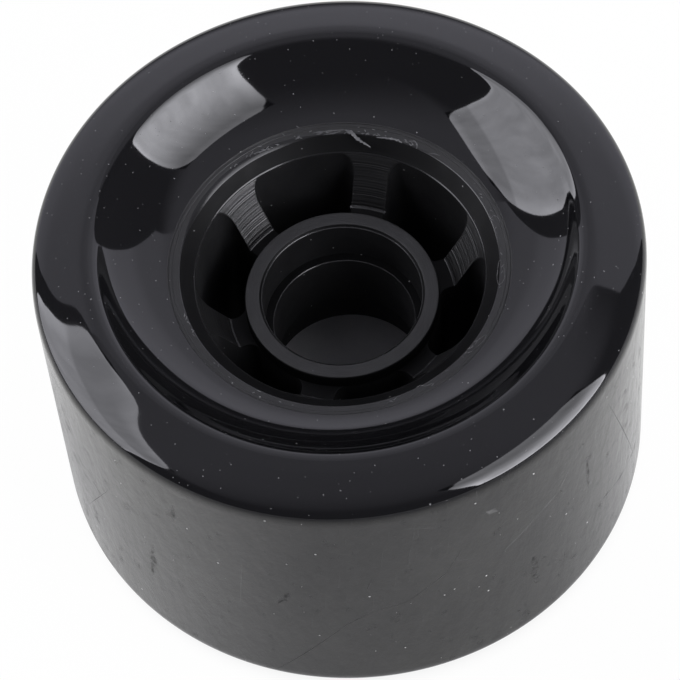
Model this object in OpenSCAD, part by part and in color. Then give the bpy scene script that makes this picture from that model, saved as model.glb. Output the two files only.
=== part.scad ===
// Bare longboard wheel: a cast polyurethane tyre on a moulded six-spoke core, bearing seats empty.
// Millimetres. The wheel lies on its side: the axle runs along Z and the origin is the wheel's centre.

/* [Tyre] */
// Diameter over the tread
wheel_d = 83; // [76:0.5:100]
// Width over the crests of the two sides
wheel_w = 52.6; // [48:0.2:64]
// Radius of the rounded lip between the tread and the sloping rim
lip_r = 3; // [2:0.1:4]
// Angle of the edge where the lip meets the ground tread
lip_edge = 20; // [10:1:35]
// How far that edge lies below the crest
lip_drop = 3.55; // [3:0.05:4.5]
// Distance from the tread to the crest, the highest ring of the side
rim_w = 7.3; // [6.5:0.1:9]
// Rounding of the crest
crest_round = 3; // [2:0.1:3.6]
// Radius of the hollow dish between the crest and the core
dish_r = 20.5; // [14:0.5:40]
// How far the inner edge of the dish lies below the crest
dish_drop = 6.9; // [5:0.1:8]

/* [Core ring] */
// Diameter of the ring that the tyre is cast on
barrel_d = 46.8; // [45:0.2:52]
// Inner diameter of the ring's lip
lip_in_d = 43.6; // [42:0.2:44.4]
// Fall of the lip's face from the tyre to its inner edge
lip_fall = 0.45; // [0.2:0.05:1]
// Diameter of the ledge at the foot of the lip's bevel, and of the pockets' outer wall
ledge_d = 39.5; // [37:0.2:41]
// How far the ledge lies below the lip's inner edge
ledge_drop = 1.75; // [1:0.05:2.5]
// Height of the ribs that key the ring into the tyre
rib_h = 1.6; // [0.8:0.1:2.5]
// Width of a ring rib at its foot
rib_w = 3.6; // [2.5:0.1:4.5]
// Spacing of the ring ribs along the axle
rib_pitch = 11; // [8:0.5:13]
// Number of ring ribs
rib_count = 3; // [1:1:3]
// Number of round keys along the ring that stop it turning in the tyre
key_count = 12; // [6:1:24]
// Radius of a key
key_r = 1.5; // [0.8:0.1:2]
// Length of a key
key_len = 30; // [20:1:34]

/* [Spokes] */
// Number of spokes
spoke_count = 6; // [5:1:7]
// Width of a spoke at its waist
spoke_w = 4.8; // [3.5:0.1:6]
// Diameter of the fold where the sloping face of a spoke meets its flat land
fold_d = 31.2; // [30:0.1:33]
// How far the flat land lies below the end of the hub
land_drop = 2.2; // [1:0.1:4]
// Rounding of a pocket's outer corners
pocket_outer_r = 1.6; // [0.8:0.1:2.2]
// Rounding of a pocket's inner corners
pocket_inner_r = 1.8; // [0.8:0.1:2.2]

/* [Hub] */
// Outer diameter of the hub tube
hub_d = 26.8; // [25:0.1:28]
// Diameter of a bearing seat
seat_d = 22; // [22:0.01:22.1]
// Depth of a bearing seat
seat_depth = 7; // [6.5:0.1:8]
// Distance between the two bearing shoulders
shoulder_gap = 10; // [8:0.1:12]
// Diameter of the bore between the shoulders
bore_d = 19.6; // [18:0.1:20.5]
// Bevel at the mouth of a bearing seat
seat_bevel = 0.4; // [0.2:0.05:0.8]
// Bevel round the outside of the hub's end
hub_bevel = 0.25; // [0.1:0.05:0.5]

/* [Hidden] */
$fn = 96;
cut = 1;
touch = 0.997;

wheel_r = wheel_d / 2;
side_z = wheel_w / 2;
crest_c = [wheel_r - rim_w, side_z - crest_round];
lip_c = [wheel_r - lip_r * cos(lip_edge), side_z - lip_drop - lip_r * sin(lip_edge)];
barrel_r = barrel_d / 2;
dish_foot = [barrel_r, side_z - dish_drop];

lip_in_p = [lip_in_d / 2, dish_foot[1] - lip_fall];
ledge_p = [ledge_d / 2, lip_in_p[1] - ledge_drop];
hub_r = hub_d / 2;
shoulder_z = shoulder_gap / 2;
hub_z = shoulder_z + seat_depth;
land_z = hub_z - land_drop;
fold_p = [fold_d / 2, land_z];
bore_r = bore_d / 2;
seat_r = seat_d / 2;
spoke_step = 360 / spoke_count;

// Length of a plan vector
function len2(v) = sqrt(v * v);
// Unit vector at an angle from the first axis
function unit(a) = [cos(a), sin(a)];
// A vector turned a quarter turn to the left
function left(v) = [-v[1], v[0]];

// Face of the rim: the line that crosses the crest's and the lip's circles at a slight angle
crest_in = crest_round * touch;
lip_in = lip_r * touch;
crest_to_lip = lip_c - crest_c;
rim_angle = atan2(crest_to_lip[1], crest_to_lip[0]) + asin((lip_in - crest_in) / len2(crest_to_lip));
rim_up = left(unit(rim_angle));
rim_p = crest_c + crest_in * rim_up;
function rim_z(r) = rim_p[1] + (r - rim_p[0]) * tan(rim_angle);

// Centre of the dish's arc, which passes through the dish's foot and meets the crest's circle from outside
foot_to_crest = crest_c - dish_foot;
dish_chord = len2(foot_to_crest);
dish_reach = dish_r + crest_in;
dish_along = (dish_r * dish_r - dish_reach * dish_reach + dish_chord * dish_chord) / (2 * dish_chord);
dish_off = sqrt(dish_r * dish_r - dish_along * dish_along);
dish_c = dish_foot + (dish_along * foot_to_crest + dish_off * left(foot_to_crest)) / dish_chord;
dish_dir = (dish_c - crest_c) / dish_reach;

// Outer corner of the rim that is cut away to leave the rounded lip
module lip_corner() {
    difference() {
        polygon([
            lip_c,
            lip_c + (lip_r + cut) * rim_up,
            [wheel_r + cut, side_z],
            [wheel_r + cut, lip_c[1]]
        ]);
        translate(lip_c) circle(r = lip_r);
    }
}

// Corner between the dish and the rim that is cut away to leave the rounded crest
module crest_corner() {
    difference() {
        polygon([
            crest_c,
            crest_c + 2 * crest_round * dish_dir,
            [crest_c[0], side_z + 2 * crest_round],
            crest_c + 2 * crest_round * rim_up
        ]);
        translate(crest_c) circle(r = crest_round);
    }
}

// Upper half of the tyre's section, right of the axle
module tyre_half_section() {
    difference() {
        polygon([
            [barrel_r - cut, 0],
            [barrel_r - cut, rim_z(barrel_r - cut)],
            [wheel_r, rim_z(wheel_r)],
            [wheel_r, 0]
        ]);
        translate(dish_c) circle(r = dish_r);
        lip_corner();
        crest_corner();
    }
}

// A section and its mirror image below the wheel's middle plane
module both_halves() {
    children();
    mirror([0, 1]) children();
}

// Outside of the core's ring, with the ribs and keys that the tyre grips
module ring_outside(past = 0) {
    cylinder(r = barrel_r, h = 2 * (dish_foot[1] + past), center = true);
    for (i = [0 : rib_count - 1])
        translate([0, 0, (i - (rib_count - 1) / 2) * rib_pitch])
            rotate_extrude()
                polygon([
                    [barrel_r - cut, -rib_w / 2],
                    [barrel_r, -rib_w / 2],
                    [barrel_r + rib_h, -rib_w / 4],
                    [barrel_r + rib_h, rib_w / 4],
                    [barrel_r, rib_w / 2],
                    [barrel_r - cut, rib_w / 2]
                ]);
    for (i = [0 : key_count - 1])
        rotate(i * 360 / key_count)
            translate([barrel_r, 0, 0])
                cylinder(r = key_r, h = key_len, center = true);
}

// Space inside the ring that holds no core: the bore, the bearing seats and the sloping recess at each side
module core_hollow_half() {
    polygon([
        [0, -cut],
        [bore_r, -cut],
        [bore_r, shoulder_z],
        [seat_r, shoulder_z],
        [seat_r, hub_z - seat_bevel],
        [seat_r + seat_bevel, hub_z],
        [hub_r - hub_bevel, hub_z],
        [hub_r, hub_z - hub_bevel],
        [hub_r, land_z],
        fold_p,
        ledge_p,
        lip_in_p,
        dish_foot,
        [barrel_r, dish_foot[1] + cut],
        [0, dish_foot[1] + cut]
    ]);
}

// Fill of one rounded pocket corner beside the spoke that lies along X
module corner_fill(centre, r, corner) {
    difference() {
        polygon([[centre[0], 0], [corner, 0], [corner, centre[1]], centre]);
        translate(centre) circle(r = r);
    }
}

// Plan of one spoke along X, waisted between its rounded corners, from inside the hub to inside the ring
module spoke_plan() {
    side_outer = spoke_w / 2 + pocket_outer_r;
    side_inner = spoke_w / 2 + pocket_inner_r;
    outer_c = [sqrt(pow(ledge_p[0] - pocket_outer_r, 2) - side_outer * side_outer), side_outer];
    inner_c = [sqrt(pow(hub_r + pocket_inner_r, 2) - side_inner * side_inner), side_inner];
    translate([seat_r, -spoke_w / 2]) square([barrel_r - seat_r - cut, spoke_w]);
    for (s = [0, 1])
        mirror([0, s]) {
            corner_fill(outer_c, pocket_outer_r, ledge_p[0] + cut / 4);
            corner_fill(inner_c, pocket_inner_r, hub_r - cut / 2);
        }
}

// Open ring between the hub and the ledge that the spokes bridge
module pocket_ring() {
    difference() {
        cylinder(r = ledge_p[0], h = 2 * side_z, center = true);
        cylinder(r = hub_r, h = 2 * side_z + cut, center = true);
        for (i = [0 : spoke_count - 1])
            rotate(i * spoke_step)
                linear_extrude(2 * side_z + cut, center = true) spoke_plan();
    }
}

// Cast polyurethane tyre
module tyre() {
    color([0.03, 0.03, 0.035])
        difference() {
            rotate_extrude() both_halves() tyre_half_section();
            ring_outside(past = side_z);
        }
}

// Moulded core: hub tube, six spokes and the ring under the tyre
module core() {
    color([0.09, 0.09, 0.095])
        difference() {
            ring_outside();
            rotate_extrude() both_halves() core_hollow_half();
            pocket_ring();
        }
}

tyre();
core();
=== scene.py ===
"""Looks of the bare longboard wheel: fine meshes, finishes, moulding flash, dust, stage, lamps and camera."""
import logging
import math
from dataclasses import dataclass, field
from enum import Enum
from functools import cached_property

import bmesh
import bpy
import numpy as np
from mathutils import Matrix, Vector


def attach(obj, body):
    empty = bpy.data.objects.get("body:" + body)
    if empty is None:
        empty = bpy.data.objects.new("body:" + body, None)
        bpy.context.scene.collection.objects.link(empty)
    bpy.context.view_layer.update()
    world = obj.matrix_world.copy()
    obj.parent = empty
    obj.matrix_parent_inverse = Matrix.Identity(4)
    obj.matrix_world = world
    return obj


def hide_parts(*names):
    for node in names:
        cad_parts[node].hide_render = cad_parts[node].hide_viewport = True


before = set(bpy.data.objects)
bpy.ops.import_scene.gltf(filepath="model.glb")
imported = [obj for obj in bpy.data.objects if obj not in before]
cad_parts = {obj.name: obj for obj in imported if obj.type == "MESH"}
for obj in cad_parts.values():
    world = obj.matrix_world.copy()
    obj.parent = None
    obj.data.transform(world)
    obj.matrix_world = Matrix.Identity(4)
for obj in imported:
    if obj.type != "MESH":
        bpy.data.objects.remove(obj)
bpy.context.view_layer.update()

LOG = logging.getLogger("wheel")
MM = 0.001
BODY = "root"
PHOTO_TURN = math.radians(-12.2)
FULL_TURN = 2 * math.pi
FLOOR_Z = -0.0263
LEAST_STEP = 1e-5
TINY = 1e-6

Pair = tuple[float, float]
Triple = tuple[float, float, float]
Colour = tuple[float, float, float, float]
Span = tuple[float, float, float, float]
Section = list[Pair]
Socket = bpy.types.NodeSocket
Tree = bpy.types.NodeTree
Material = bpy.types.Material
Thing = bpy.types.Object

BLACK: Colour = (0.0, 0.0, 0.0, 1.0)
WHITE: Colour = (1.0, 1.0, 1.0, 1.0)
ROOM_TINT: Colour = (0.98, 0.97, 1.10, 1.0)
HAIR_DARK: Colour = (0.003, 0.003, 0.003, 1.0)
HAIR_PALE: Colour = (0.060, 0.060, 0.058, 1.0)


class Slot(Enum):
    """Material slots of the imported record."""

    URETHANE = "urethane"
    CORE = "core_plastic"


class TyreZone(Enum):
    """Order of the tyre's finishes in its mesh."""

    CAST = 0
    TREAD = 1


class CoreZone(Enum):
    """Order of the core's finishes in its mesh."""

    SCUFFED = 0
    SATIN = 1
    TURNED = 2
    POLISHED = 3
    WALL = 4
    # Burr, whose pale colour is partly a painted highlight.
    BURR = 5


def turned(point: Triple) -> Vector:
    """Turn a point from the photographer's frame, with the camera towards -Y, into the wheel's frame."""
    return Matrix.Rotation(PHOTO_TURN, 3, "Z") @ Vector(point)


def direction(azimuth: float, elevation: float) -> Vector:
    """Give the unit vector at degrees round from +X and degrees up, in the photographer's frame."""
    az, el = math.radians(azimuth), math.radians(elevation)
    return Vector((math.cos(el) * math.cos(az), math.cos(el) * math.sin(az), math.sin(el)))


def arc(centre: Pair, radius: float, start: float, end: float, count: int) -> Section:
    """Sample an arc of a section between two angles in degrees, both ends included."""
    angles = np.radians(np.linspace(start, end, count))
    return [(centre[0] + radius * math.cos(a), centre[1] + radius * math.sin(a)) for a in angles]


def line(start: Pair, end: Pair, count: int) -> Section:
    """Sample a straight line of a section, both ends included."""
    return [tuple(p) for p in np.linspace(start, end, count)]


def mirrored(points: Section) -> Section:
    """Give a section's mirror image below the middle, in reverse order."""
    return [(r, -z) for r, z in reversed(points)]


def without_repeats(points: Section) -> Section:
    """Drop points of a section that repeat the one before them.

    Args:
        points: Points of the section in order.

    Returns:
        The points that are left.
    """
    kept = [points[0]]
    for point in points[1:]:
        if math.dist(point, kept[-1]) > LEAST_STEP:
            kept.append(point)
    return kept


def new_object(name: str, data: bpy.types.ID) -> Thing:
    """Make an object and link it to the scene.

    Args:
        name: Name of the object.
        data: Its mesh or camera.

    Returns:
        The new object.
    """
    made = bpy.data.objects.new(name, data)
    bpy.context.scene.collection.objects.link(made)
    return made


def flat_panel(name: str, corners: list[Vector], material: Material) -> Thing:
    """Build a flat panel of the stage.

    Args:
        name: Name of the panel.
        corners: Its four corners in order, in the wheel's frame.
        material: Its material.

    Returns:
        The panel's object.
    """
    mesh = bpy.data.meshes.new(name)
    mesh.from_pydata(corners, [], [(0, 1, 2, 3)])
    for corner, place in zip(mesh.uv_layers.new(name="panel").data, ((0, 0), (1, 0), (1, 1), (0, 1))):
        corner.uv = place
    mesh.materials.append(material)
    return new_object(name, mesh)


@dataclass
class MeshDraft:
    """Points and faces gathered in millimetres before they become one mesh."""

    points: list[np.ndarray] = field(default_factory=list)
    faces: list[tuple[int, ...]] = field(default_factory=list)
    zones: list[int] = field(default_factory=list)
    count: int = 0
    merge_within: float = 2e-6
    least_edge: float = 1e-7

    def add_grid(self, grid: np.ndarray, wrap_rows: bool = False, wrap_cols: bool = False,
                 zones: np.ndarray | list[int] | int = 0) -> None:
        """Add a grid of quads.

        Args:
            grid: Points as rows by columns by three.
            wrap_rows: Whether the last row joins the first.
            wrap_cols: Whether the last column joins the first.
            zones: Finish of each row of faces, or one for all.
        """
        rows, cols = grid.shape[:2]
        base = self.count
        finish = np.broadcast_to(zones, (rows,)) if np.ndim(zones) == 0 else zones
        self.points.append(grid.reshape(-1, 3))
        self.count += rows * cols
        for i in range(rows if wrap_rows else rows - 1):
            here, there = base + i * cols, base + (i + 1) % rows * cols
            for j in range(cols if wrap_cols else cols - 1):
                k = (j + 1) % cols
                self.faces.append((here + j, here + k, there + k, there + j))
                self.zones.append(int(finish[i]))

    def to_object(self, name: str, sharp: float) -> Thing:
        """Join the grids into one smooth-shaded object in metres.

        Args:
            name: Name of the piece.
            sharp: Angle in degrees above which an edge stays crisp.

        Returns:
            The new object, linked to the scene.
        """
        mesh = bpy.data.meshes.new(name)
        mesh.from_pydata((np.concatenate(self.points) * MM).tolist(), [], self.faces)
        mesh.polygons.foreach_set("material_index", np.array(self.zones, np.int32))
        work = bmesh.new()
        work.from_mesh(mesh)
        bmesh.ops.remove_doubles(work, verts=work.verts, dist=self.merge_within)
        bmesh.ops.dissolve_degenerate(work, edges=work.edges, dist=self.least_edge)
        bmesh.ops.recalc_face_normals(work, faces=work.faces)
        work.to_mesh(mesh)
        work.free()
        mesh.polygons.foreach_set("use_smooth", np.ones(len(mesh.polygons), bool))
        mesh.set_sharp_from_angle(angle=math.radians(sharp))
        return new_object(name, mesh)


@dataclass(frozen=True)
class BarrelKeys:
    """Ribs and round keys on the hidden joint between the core and the tyre."""

    barrel_r: float = 23.4
    rib_h: float = 1.6
    rib_w: float = 3.6
    rib_pitch: float = 11.0
    rib_count: int = 3
    key_count: int = 12
    key_r: float = 1.5
    key_half: float = 15.0
    key_end: float = 0.01

    def wall(self, half: float) -> Section:
        """Give the section of the wall from its top edge to its bottom edge.

        Args:
            half: Height of the top edge above the middle.

        Returns:
            Points of the ribbed wall.
        """
        foot, crown = self.barrel_r, self.barrel_r + self.rib_h
        ends = [(foot, z) for z in (half, self.key_half + self.key_end, self.key_half - self.key_end)]
        points = list(ends)
        for i in reversed(range(self.rib_count)):
            mid = (i - (self.rib_count - 1) / 2) * self.rib_pitch
            points += [(foot, mid + self.rib_w / 2), (crown, mid + self.rib_w / 4),
                       (crown, mid - self.rib_w / 4), (foot, mid - self.rib_w / 2)]
        return points + mirrored(ends)

    def reach(self, angles: np.ndarray) -> np.ndarray:
        """Give how far the keys reach from the axle at each angle.

        Args:
            angles: Angles round the axle in radians.

        Returns:
            Radius of the keyed wall at each angle.
        """
        step = FULL_TURN / self.key_count
        off = (angles + step / 2) % step - step / 2
        inside = self.key_r ** 2 - (self.barrel_r * np.sin(off)) ** 2
        keyed = self.barrel_r * np.cos(off) + np.sqrt(np.maximum(inside, 0))
        return np.where(inside > 0, keyed, self.barrel_r)


def revolve(section: Section, angles: np.ndarray, keys: BarrelKeys | None = None) -> np.ndarray:
    """Turn a section round the axle.

    Args:
        section: Points as radius and height.
        angles: Angles of the columns in radians.
        keys: Keys that push the barrel's wall outwards, or none.

    Returns:
        Points as section points by angles by three.
    """
    rz = np.array(section)
    radius = np.repeat(rz[:, :1], len(angles), axis=1)
    if keys is not None:
        on_wall = (rz[:, 0] >= keys.barrel_r - TINY) & (np.abs(rz[:, 1]) < keys.key_half)
        radius[on_wall] = np.maximum(radius[on_wall], keys.reach(angles)[None, :])
    height = np.repeat(rz[:, 1:], len(angles), axis=1)
    return np.stack([radius * np.cos(angles), radius * np.sin(angles), height], axis=2)


@dataclass(frozen=True)
class Cloud:
    """Soft clouds: their scale, and the values between which they vary."""

    scale: float
    low: float = 0.0
    high: float = 1.0


@dataclass(frozen=True)
class Speckle:
    """Scattered specks: cells to the metre, size in a cell, and share of the cells that are filled."""

    cells: float
    size: float
    share: float


@dataclass(frozen=True)
class NodeKit:
    """Short ways to lay shader nodes in one node tree."""

    tree: Tree

    def link(self, source: Socket, target: Socket) -> None:
        """Link two sockets."""
        self.tree.links.new(source, target)

    def find(self, kind: str) -> bpy.types.Node:
        """Give the tree's first node of a type."""
        return next(n for n in self.tree.nodes if n.type == kind)

    def add(self, kind: str, inputs: dict | None = None, **settings: object) -> bpy.types.Node:
        """Add a node, set its properties and fill its inputs.

        Args:
            kind: Blender's name of the node type.
            inputs: Values or sockets for inputs by name or number.
            settings: Properties of the node.

        Returns:
            The new node.
        """
        node = self.tree.nodes.new(kind)
        for name, value in settings.items():
            setattr(node, name, value)
        for name, value in (inputs or {}).items():
            if isinstance(value, Socket):
                self.link(value, node.inputs[name])
            else:
                node.inputs[name].default_value = value
        return node

    def group(self, tree: Tree, **inputs: object) -> bpy.types.NodeOutputs:
        """Place a node group with its own values and give its outputs."""
        return self.add("ShaderNodeGroup", inputs, node_tree=tree).outputs

    def math(self, operation: str, first: object, second: object = 0.0) -> Socket:
        """Add a math node and give its output."""
        return self.add("ShaderNodeMath", {0: first, 1: second}, operation=operation).outputs[0]

    def vector(self, operation: str, first: object, second: object, output: int | str = 0) -> Socket:
        """Add a vector math node and give one of its outputs."""
        return self.add("ShaderNodeVectorMath", {0: first, 1: second}, operation=operation).outputs[output]

    def blend(self, factor: object, first: object, second: object) -> Socket:
        """Mix two colours by a factor and give the colour."""
        return self.add("ShaderNodeMix", {0: factor, 6: first, 7: second}, data_type="RGBA").outputs[2]

    def mixed(self, factor: Socket, first: bpy.types.Node, second: bpy.types.Node) -> bpy.types.Node:
        """Mix two shaders by a factor and give the node."""
        return self.add("ShaderNodeMixShader", {0: factor, 1: first.outputs[0], 2: second.outputs[0]})

    def span(self, value: object, low: float, high: float, to_low: float = 0.0,
             to_high: float = 1.0) -> Socket:
        """Map a span of values smoothly onto another and give the result."""
        ends = {0: value, 1: low, 2: high, 3: to_low, 4: to_high}
        return self.add("ShaderNodeMapRange", ends, interpolation_type="SMOOTHSTEP").outputs[0]

    def place(self) -> Socket:
        """Give the place on the object."""
        return self.add("ShaderNodeTexCoord").outputs["Object"]

    def axes(self, vector: Socket) -> bpy.types.NodeOutputs:
        """Split a vector into its three values."""
        return self.add("ShaderNodeSeparateXYZ", {0: vector}).outputs

    def flat(self, first: Socket, second: Socket) -> Socket:
        """Join two values into a flat vector."""
        return self.add("ShaderNodeCombineXYZ", {0: first, 1: second}).outputs[0]

    def length(self, vector: Socket) -> Socket:
        """Give the length of a vector."""
        return self.add("ShaderNodeVectorMath", {0: vector}, operation="LENGTH").outputs["Value"]

    def aside(self, axes: bpy.types.NodeOutputs) -> Socket:
        """Give the angle round Z from -Y towards +X."""
        return self.math("ARCTAN2", axes[0], self.math("MULTIPLY", axes[1], -1.0))

    def turn(self, vector: Socket, angle: object) -> Socket:
        """Turn a vector round Z."""
        inputs = {"Vector": vector, "Angle": angle}
        return self.add("ShaderNodeVectorRotate", inputs, rotation_type="Z_AXIS").outputs[0]

    def noise(self, place: Socket, scale: float, detail: float) -> Socket:
        """Add a noise texture and give its value."""
        return self.add("ShaderNodeTexNoise", {"Vector": place, "Scale": scale, "Detail": detail}).outputs[0]

    def mottle(self, place: Socket, cloud: Cloud) -> Socket:
        """Add soft clouds and give their value."""
        return self.group(EFFECTS.mottle, Place=place, Scale=cloud.scale, Low=cloud.low, High=cloud.high)[0]

    def dust(self, place: Socket, specks: Speckle) -> Socket:
        """Add scattered specks and give their mask."""
        inputs = {"Cells": specks.cells, "Size": specks.size, "Share": specks.share}
        return self.group(EFFECTS.dust, Place=place, **inputs)[0]

    def bump(self, shader: bpy.types.Node, height: Socket, strength: float, distance: float) -> None:
        """Bump a shader's surface by a height."""
        node = self.add("ShaderNodeBump", {"Strength": strength, "Distance": distance, "Height": height})
        self.link(node.outputs[0], shader.inputs["Normal"])


@dataclass
class EffectLibrary:
    """Shader node groups that several finishes share, each made when it is first asked for."""

    vectors: tuple[str, ...] = ("Place", "Plan", "Start", "End", "Wrap", "Disc")
    least_speck: float = 0.35
    least_hair: float = 0.3
    stroke_taper: float = 1.5
    stroke_soft: float = 0.3
    cloud_detail: float = 6.0
    cloud_roughness: float = 0.6
    cloud_range: Pair = (0.3, 0.7)

    def start(self, name: str, inputs: tuple[str, ...],
              outputs: tuple[str, ...]) -> tuple[NodeKit, bpy.types.NodeOutputs, bpy.types.NodeInputs]:
        """Open a new node group.

        Args:
            name: Name of the group.
            inputs: Names of its inputs.
            outputs: Names of its outputs.
        """
        tree = bpy.data.node_groups.new(name, "ShaderNodeTree")
        for way, labels in (("INPUT", inputs), ("OUTPUT", outputs)):
            for label in labels:
                kind = "NodeSocketVector" if label in self.vectors else "NodeSocketFloat"
                tree.interface.new_socket(label, in_out=way, socket_type=kind)
        entry, leave = (tree.nodes.new(kind) for kind in ("NodeGroupInput", "NodeGroupOutput"))
        return NodeKit(tree), entry.outputs, leave.inputs

    def filled(self, kit: NodeKit, cells: bpy.types.Node, size: Socket, share: Socket,
               least: float) -> Socket:
        """Fill a share of the cells with specks of several sizes.

        Args:
            kit: Kit of the group.
            cells: Cell texture.
            size: Largest size of a speck in its cell.
            share: Share of the cells that are filled.
            least: Smallest size as a share of the largest.

        Returns:
            Mask of the specks.
        """
        chance = kit.add("ShaderNodeSeparateColor", {0: cells.outputs["Color"]}).outputs
        reach = kit.math("MULTIPLY", size, kit.span(chance[1], 0.0, 1.0, least, 1.0))
        inside = kit.math("LESS_THAN", cells.outputs["Distance"], reach)
        return kit.math("MULTIPLY", inside, kit.math("LESS_THAN", chance[0], share))

    @cached_property
    def dust(self) -> Tree:
        """Make the group that scatters fine specks.

        Returns:
            Group with a speck mask from a place, a spacing, a speck size and a share of filled cells.
        """
        kit, given, out = self.start("dust_specks", ("Place", "Cells", "Size", "Share"), ("Mask",))
        cells = kit.add("ShaderNodeTexVoronoi", {"Vector": given["Place"], "Scale": given["Cells"]})
        kit.link(self.filled(kit, cells, given["Size"], given["Share"], self.least_speck), out["Mask"])
        return kit.tree

    @cached_property
    def unrolled(self) -> Tree:
        """Make the group that unrolls a place round the axle.

        Returns:
            Group with a plan of way round and height, a plan of way round and radius, and the radius.
        """
        kit, given, out = self.start("unrolled", ("Place", "Turn", "Reach"), ("Wrap", "Disc", "Radius"))
        axes = kit.axes(kit.turn(given["Place"], given["Turn"]))
        along = kit.math("MULTIPLY", kit.aside(axes), given["Reach"])
        radius = kit.length(kit.flat(axes[0], axes[1]))
        kit.link(kit.flat(along, axes[2]), out["Wrap"])
        kit.link(kit.flat(along, radius), out["Disc"])
        kit.link(radius, out["Radius"])
        return kit.tree

    @cached_property
    def hairlines(self) -> Tree:
        """Make the group that draws short straight hairlines in one direction.

        Returns:
            Group with a hairline mask from a plan, a turn, a spacing, a slenderness, a width and a share.
        """
        labels = ("Plan", "Turn", "Cells", "Slender", "Width", "Share")
        kit, given, out = self.start("hairlines", labels, ("Mask",))
        axes = kit.axes(kit.turn(given["Plan"], given["Turn"]))
        drawn = kit.flat(axes[0], kit.math("MULTIPLY", axes[1], given["Slender"]))
        inputs = {"Vector": drawn, "Scale": given["Cells"]}
        cells = kit.add("ShaderNodeTexVoronoi", inputs, voronoi_dimensions="2D")
        kit.link(self.filled(kit, cells, given["Width"], given["Share"], self.least_hair), out["Mask"])
        return kit.tree

    @cached_property
    def stroke(self) -> Tree:
        """Make the group that draws one mark with pointed, soft ends.

        Returns:
            Group with a mark's mask from a flat plan, a start, an end and a width.
        """
        kit, given, out = self.start("stroke", ("Plan", "Start", "End", "Width"), ("Mask",))
        whole = kit.vector("SUBTRACT", given["End"], given["Start"])
        part = kit.vector("SUBTRACT", given["Plan"], given["Start"])
        over = kit.vector("DOT_PRODUCT", part, whole, "Value")
        full = kit.vector("DOT_PRODUCT", whole, whole, "Value")
        share = kit.add("ShaderNodeMath", {0: over, 1: full}, operation="DIVIDE", use_clamp=True).outputs[0]
        foot = kit.add("ShaderNodeVectorMath", {0: whole, 3: share}, operation="SCALE").outputs[0]
        off = kit.vector("DISTANCE", part, foot, "Value")
        ends = kit.math("ABSOLUTE", kit.math("SUBTRACT", share, 0.5))
        taper = kit.math("SUBTRACT", 1.0, kit.math("MULTIPLY", ends, self.stroke_taper))
        ratio = kit.math("DIVIDE", off, kit.math("MULTIPLY", given["Width"], taper))
        soft = kit.add("ShaderNodeMapRange", {0: ratio, 1: self.stroke_soft, 2: 1.0, 3: 1.0, 4: 0.0})
        kit.link(soft.outputs[0], out["Mask"])
        return kit.tree

    @cached_property
    def mottle(self) -> Tree:
        """Make the group that varies a surface in soft clouds.

        Returns:
            Group with a soft value from a place, a scale and the two ends of its range.
        """
        kit, given, out = self.start("soft_mottle", ("Place", "Scale", "Low", "High"), ("Value",))
        inputs = {"Vector": given["Place"], "Scale": given["Scale"], "Detail": self.cloud_detail,
                  "Roughness": self.cloud_roughness}
        clouds = kit.add("ShaderNodeTexNoise", inputs)
        low, high = self.cloud_range
        ends = {0: clouds.outputs[0], 1: low, 2: high, 3: given["Low"], 4: given["High"]}
        kit.link(kit.add("ShaderNodeMapRange", ends).outputs[0], out["Value"])
        return kit.tree


EFFECTS = EffectLibrary()


def new_material(name: str) -> tuple[Material, NodeKit, bpy.types.Node]:
    """Make a material with one principled shader.

    Args:
        name: Name of the material.

    Returns:
        The material, a kit for its nodes and its principled shader.
    """
    material = bpy.data.materials.new(name)
    material.use_nodes = True
    kit = NodeKit(material.node_tree)
    return material, kit, kit.find("BSDF_PRINCIPLED")


@dataclass(frozen=True)
class CastUrethane:
    """Glossy black cast polyurethane of the lips, rims and dishes."""

    colour: Colour = (0.0040, 0.0040, 0.0045, 1.0)
    dust_colour: Colour = (0.15, 0.15, 0.15, 1.0)
    large_dust: Speckle = Speckle(560.0, 0.072, 0.34)
    small_dust: Speckle = Speckle(1300.0, 0.11, 0.45)
    dust_roughness: float = 0.7
    roughness: Cloud = Cloud(70.0, 0.028, 0.05)
    ior: float = 1.56
    swell: Pair = (55.0, 1.0)
    bump: Pair = (0.02, 0.001)

    def material(self) -> Material:
        """Build the material.

        Returns:
            The material.
        """
        material, kit, shader = new_material("cast_urethane")
        place = kit.place()
        specks = kit.math("MAXIMUM", kit.dust(place, self.large_dust), kit.dust(place, self.small_dust))
        rough = kit.math("MAXIMUM", kit.mottle(place, self.roughness),
                         kit.math("MULTIPLY", specks, self.dust_roughness))
        kit.link(kit.blend(specks, self.colour, self.dust_colour), shader.inputs["Base Color"])
        kit.link(rough, shader.inputs["Roughness"])
        shader.inputs["IOR"].default_value = self.ior
        kit.bump(shader, kit.noise(place, *self.swell), *self.bump)
        return material


class Mark(Enum):
    """Kinds of marks on the tread: colour, least strength where a mark is broken, and added roughness."""

    SCRATCH = ((0.003, 0.003, 0.003, 1.0), 0.55, 0.45)
    SCUFF = ((0.12, 0.12, 0.116, 1.0), 0.55, 0.0)
    SMEAR = ((0.002, 0.002, 0.0018, 1.0), 0.15, 0.45)


@dataclass(frozen=True)
class TreadMark:
    """One mark of a width in millimetres through places in degrees from the front and millimetres up."""

    kind: Mark
    width: float
    places: tuple[Pair, ...]


@dataclass(frozen=True)
class HairLayer:
    """One layer of hairlines: direction in radians, cells to the metre, share of filled cells and colour."""

    turn: float
    cells: float
    share: float
    colour: Colour


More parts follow.
